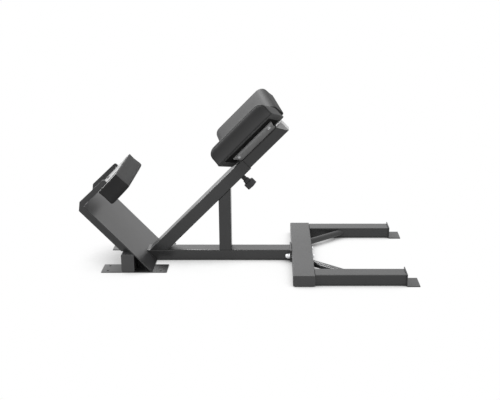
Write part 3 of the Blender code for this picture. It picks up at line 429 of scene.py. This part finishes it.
def swell(place, size, crown, draw_in):
    # The face rises to its crown and the sides draw in above the board
    u = 2 * place.x / size[0]
    v = 2 * place.y / size[1]
    w = place.z / size[2]
    rise = crown * max(0.0, 1 - u ** CROWN_FLATNESS) * max(0.0, 1 - v ** CROWN_FLATNESS) * w ** CROWN_FADE
    pinch = draw_in * math.sin(math.pi * min(1.0, w / DRAW_IN_SHARE))
    x = place.x - math.copysign(pinch * abs(u) ** DRAW_IN_FLATNESS, u)
    y = place.y - math.copysign(pinch * abs(v) ** DRAW_IN_FLATNESS, v)
    return Vector((x, y, place.z + rise))


def apply_modifiers(piece):
    bpy.context.view_layer.update()
    graph = bpy.context.evaluated_depsgraph_get()
    mesh = bpy.data.meshes.new_from_object(piece.evaluated_get(graph))
    piece.modifiers.clear()
    piece.data = mesh


def inflate(piece):
    # The sewn cover swells a little against its foam; its back is stapled down and held
    rest = [vert.co.copy() for vert in piece.data.vertices]
    normals = [vert.normal.copy() for vert in piece.data.vertices]
    held = piece.vertex_groups.new(name="held")
    for vert, point, normal in zip(piece.data.vertices, rest, normals):
        if point.z < HELD_BELOW:
            held.add([vert.index], 1.0, "REPLACE")
        else:
            vert.co = point - normal * START_INSET
    run_cloth(piece, held.name)
    lifts = [(vert.co - point).dot(normal) for vert, point, normal in zip(piece.data.vertices, rest, normals)]
    lifts = evened(piece.data, [max(-PULL_CAP, SWELL_CAP * math.tanh(lift / SWELL_CAP)) for lift in lifts])
    for vert, point, normal, lift in zip(piece.data.vertices, rest, normals, lifts):
        vert.co = point if point.z < HELD_BELOW else point + normal * lift
    bpy.context.scene.frame_set(1)


def run_cloth(piece, held_group):
    cloth = piece.modifiers.new("cloth", "CLOTH")
    cloth.settings.vertex_group_mass = held_group
    cloth.settings.use_pressure = True
    cloth.settings.uniform_pressure_force = CLOTH_PRESSURE
    cloth.settings.effector_weights.gravity = 0.0
    cloth.settings.quality = CLOTH_QUALITY
    cloth.point_cache.frame_start = 1
    cloth.point_cache.frame_end = CLOTH_FRAMES
    for step in range(1, CLOTH_FRAMES + 1):
        bpy.context.scene.frame_set(step)
    apply_modifiers(piece)


def evened(mesh, lifts):
    # The cover is stiff, so each point moves as its neighbours do
    for _ in range(SMOOTH_ROUNDS):
        totals = list(lifts)
        counts = [1] * len(lifts)
        for edge in mesh.edges:
            first, second = edge.vertices
            totals[first] += lifts[second]
            totals[second] += lifts[first]
            counts[first] += 1
            counts[second] += 1
        lifts = [total / count for total, count in zip(totals, counts)]
    return lifts


def shade_smooth(mesh):
    for polygon in mesh.polygons:
        polygon.use_smooth = True


def refine(piece, has_pocket, size):
    modifier = piece.modifiers.new("fine", "SUBSURF")
    modifier.levels = 1
    modifier.render_levels = 1
    apply_modifiers(piece)
    if has_pocket:
        for vert in piece.data.vertices:
            vert.co.z = max(vert.co.z, CLEARANCE)
        cut_pocket(piece, size)
    shade_smooth(piece.data)


def cut_pocket(piece, size):
    # Room for the board in the cushion's back
    length, width = [2 * (side / 2 - BOARD_INSET + CLEARANCE) for side in size[:2]]
    depth = BOARD_THICK + CLEARANCE
    cutter = add_object("pocket", box_mesh("pocket", (length, width, 2 * depth), (0, 0, 0)))
    modifier = piece.modifiers.new("pocket", "BOOLEAN")
    modifier.operation = "DIFFERENCE"
    modifier.solver = "EXACT"
    modifier.object = cutter
    apply_modifiers(piece)
    bpy.data.objects.remove(cutter, do_unlink=True)


def soft_cushion(name, size, radii, crown, draw_in, has_pocket):
    piece = fine_cushion(name, size, radii, crown, draw_in)
    inflate(piece)
    refine(piece, has_pocket, size)
    return piece


def bend(centre_x, centre_z, radius, first_angle):
    # A quarter turn, clockwise from its first angle
    angles = [first_angle - math.pi / 2 * i / BEND_STEPS for i in range(BEND_STEPS + 1)]
    return [Vector((centre_x + radius * math.cos(a), 0, centre_z + radius * math.sin(a))) for a in angles]


def side_outline(size, inset, end_radius):
    # The open line that a side panel's seam follows: up one end, along the face and down the other
    half = size[0] / 2 - inset
    top = size[2] - inset
    radius = max(end_radius - inset, SEAM_LEAST_BEND)
    shoulder = top - radius
    climb = shoulder - SEAM_START
    span = 2 * (half - radius)
    line = [Vector((-half, 0, SEAM_START + climb * i / BEND_STEPS)) for i in range(BEND_STEPS)]
    line += bend(-half + radius, shoulder, radius, math.pi)
    line += [Vector((-half + radius + span * i / FACE_STEPS, 0, top)) for i in range(1, FACE_STEPS)]
    line += bend(half - radius, shoulder, radius, math.pi / 2)
    line += [Vector((half, 0, shoulder - climb * i / BEND_STEPS)) for i in range(1, BEND_STEPS + 1)]
    return line


def drape(line, tree, side, size, lift):
    # Each point is laid on the cushion, coming in from the side panel
    laid = []
    for point in line:
        start = Vector((point.x, side * size[1], point.z))
        place, normal, _, _ = tree.ray_cast(start, Vector((0, -side, 0)))
        if place is None:
            place, normal, _, _ = tree.find_nearest(Vector((point.x, side * size[1] / 2, point.z)))
        laid.append(place + normal * lift)
    return laid


def round_line(name, radius, resolution):
    curve = bpy.data.curves.new(name, "CURVE")
    curve.dimensions = "3D"
    curve.bevel_depth = radius
    curve.bevel_resolution = resolution
    curve.use_fill_caps = True
    return curve


def add_stretch(curve, points):
    spline = curve.splines.new("POLY")
    spline.points.add(len(points) - 1)
    for target, point in zip(spline.points, points):
        target.co = (*point, 1)


def to_mesh(name, curve):
    source = add_object(name + "_line", curve)
    bpy.context.view_layer.update()
    graph = bpy.context.evaluated_depsgraph_get()
    mesh = bpy.data.meshes.new_from_object(source.evaluated_get(graph))
    bpy.data.objects.remove(source, do_unlink=True)
    shade_smooth(mesh)
    return add_object(name, mesh)


def seam_along(name, points):
    curve = round_line(name, SEAM_RADIUS, 2)
    add_stretch(curve, points)
    return to_mesh(name, curve)


def stitches_along(name, points):
    curve = round_line(name, STITCH_RADIUS, 1)
    walked = 0.0
    due = STITCH_PITCH
    for first, second in zip(points, points[1:]):
        length = (second - first).length
        while length > 0 and due <= walked + length:
            middle = first.lerp(second, (due - walked) / length)
            half = (second - first).normalized() * STITCH_LENGTH / 2
            add_stretch(curve, (middle - half, middle + half))
            due += STITCH_PITCH
        walked += length
    return to_mesh(name, curve)


def add_seams(cushion, place, body, size, end_radius):
    work = bmesh.new()
    work.from_mesh(cushion.data)
    tree = BVHTree.FromBMesh(work)
    work.free()
    for side, word in ((-1, "a"), (1, "b")):
        welt = drape(side_outline(size, SEAM_INSET, end_radius), tree, side, size, SEAM_LIFT)
        row = drape(side_outline(size, STITCH_INSET, end_radius), tree, side, size, STITCH_LIFT)
        pieces = (seam_along("%s_seam_%s" % (cushion.name, word), welt),
                  stitches_along("%s_stitches_%s" % (cushion.name, word), row))
        # The welts take the near-black of the seams' painted shade, the stitch rows take thread
        for piece, finish in zip(pieces, (SEAM_WELT_AND_SHADE, THREAD)):
            piece.data.transform(place)
            piece.data.materials.append(finish)
            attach(piece, body)


def finish_cushion(piece, cad_name, place, body, size, end_radius):
    add_seams(piece, place, body, size, end_radius)
    piece.data.transform(place)
    piece.data.materials.clear()
    piece.data.materials.append(VINYL)
    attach(piece, body)
    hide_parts(cad_name)


def make_cushions():
    size = (PAD_LENGTH, PAD_WIDTH, PAD_THICK)
    radii = (PAD_END_RADIUS, PAD_EDGE_RADIUS, PAD_BACK_RADIUS)
    for side, sign in (("near", -1), ("far", 1)):
        piece = soft_cushion("thigh_cushion_" + side, size, radii, PAD_CROWN, PAD_DRAW_IN, True)
        cad_name = "thigh_pad_" + side
        finish_cushion(piece, cad_name, thigh_frame(sign), "carriage", size, PAD_END_RADIUS)
    size = (ANKLE_LENGTH, ANKLE_HEIGHT, ANKLE_THICK)
    radii = (ANKLE_END_RADIUS, ANKLE_EDGE_RADIUS, ANKLE_BACK_RADIUS)
    piece = soft_cushion("ankle_cushion", size, radii, ANKLE_CROWN, ANKLE_DRAW_IN, False)
    finish_cushion(piece, "ankle_pad", ankle_frame(), "frame", size, ANKLE_END_RADIUS)


def make_ankle_backing():
    # It lies between the cushion and the plate that carries it
    size = (ANKLE_LENGTH - 2 * BACKING_MARGIN, ANKLE_HEIGHT - 2 * BACKING_MARGIN, BACKING_THICK)
    mesh = box_mesh("ankle_backing", size, (0, 0, -BACKING_DEPTH))
    mesh.transform(ankle_frame())
    mesh.materials.append(PLATE_PAINT)
    piece = add_object("ankle_backing", mesh)
    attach(piece, "frame")


def seen_white(tree):
    # 1 for rays that show the background, 0 for those that light the object
    path = tree.nodes.new("ShaderNodeLightPath")
    total = path.outputs["Is Camera Ray"]
    for name in ("Is Glossy Ray", "Is Transmission Ray"):
        larger = tree.nodes.new("ShaderNodeMath")
        larger.operation = "MAXIMUM"
        tree.links.new(total, larger.inputs[0])
        tree.links.new(path.outputs[name], larger.inputs[1])
        total = larger.outputs["Value"]
    return total


def open_floor(tree):
    # How much of the floor's white glow shows: none where the object stands close above it, so this
    # ambient-occlusion fade is a painted shadow on the floor
    open_sky = node(tree, "ShaderNodeAmbientOcclusion", Distance=SHADOW_REACH)
    open_sky.samples = SHADOW_SAMPLES
    spread = node(tree, "ShaderNodeMapRange", From_Min=FLOOR_CLOSED, From_Max=FLOOR_OPEN,
                  To_Min=0.0, To_Max=FLOOR_GLOW)
    tree.links.new(open_sky.outputs["AO"], spread.inputs["Value"])
    return spread.outputs["Result"]


def floor_material():
    material, tree, shader = new_material("floor_white")
    shader.inputs["Base Color"].default_value = (*grey(FLOOR_COLOUR), 1)
    shader.inputs["Roughness"].default_value = FLOOR_ROUGHNESS
    shader.inputs["Specular IOR Level"].default_value = 0.0
    glow = node(tree, "ShaderNodeEmission", Strength=1.0)
    # The glow is cut back where the floor is occluded: a painted shadow under the object
    share = tree.nodes.new("ShaderNodeMath")
    share.operation = "MULTIPLY"
    tree.links.new(seen_white(tree), share.inputs[0])
    tree.links.new(open_floor(tree), share.inputs[1])
    mix = tree.nodes.new("ShaderNodeMixShader")
    tree.links.new(share.outputs["Value"], mix.inputs["Fac"])
    tree.links.new(shader.outputs["BSDF"], mix.inputs[1])
    tree.links.new(glow.outputs["Emission"], mix.inputs[2])
    tree.links.new(mix.outputs["Shader"], tree.nodes["Material Output"].inputs["Surface"])
    return material


def make_floor():
    half = FLOOR_SIZE / 2
    mesh = bpy.data.meshes.new("floor")
    corners = [(-half, -half, 0), (half, -half, 0), (half, half, 0), (-half, half, 0)]
    mesh.from_pydata(corners, [], [(0, 1, 2, 3)])
    mesh.materials.append(floor_material())
    floor = add_object("floor", mesh)
    floor.location.z = -FLOOR_DROP


def make_world():
    world = bpy.data.worlds.new("studio")
    bpy.context.scene.world = world
    world.use_nodes = True
    tree = world.node_tree
    background = tree.nodes["Background"]
    background.inputs["Color"].default_value = (1, 1, 1, 1)
    level = node(tree, "ShaderNodeMapRange", To_Min=WORLD_LIGHT, To_Max=1.0)
    tree.links.new(seen_white(tree), level.inputs["Value"])
    tree.links.new(level.outputs["Result"], background.inputs["Strength"])


def add_lamp(name, place, target, power, size):
    lamp = bpy.data.lights.new(name, "AREA")
    lamp.energy = power
    lamp.shape = "SQUARE"
    lamp.size = size
    holder = add_object(name, lamp)
    holder.location = place
    holder.rotation_euler = (Vector(target) - Vector(place)).to_track_quat("-Z", "Y").to_euler()


def make_camera():
    data = bpy.data.cameras.new("camera")
    data.lens = CAMERA_LENS
    data.sensor_width = CAMERA_SENSOR
    data.shift_x = CAMERA_SHIFT_X
    data.clip_end = CAMERA_CLIP
    camera = add_object("camera", data)
    camera.location = CAMERA_PLACE
    camera.rotation_euler = (CAMERA_PITCH, 0, 0)
    bpy.context.scene.camera = camera


make_camera()
make_world()
make_floor()
for lamp in LAMPS:
    add_lamp(*lamp)
dress_cad_nodes()
make_cushions()
make_ankle_backing()
bpy.context.scene.view_settings.view_transform = "Standard"
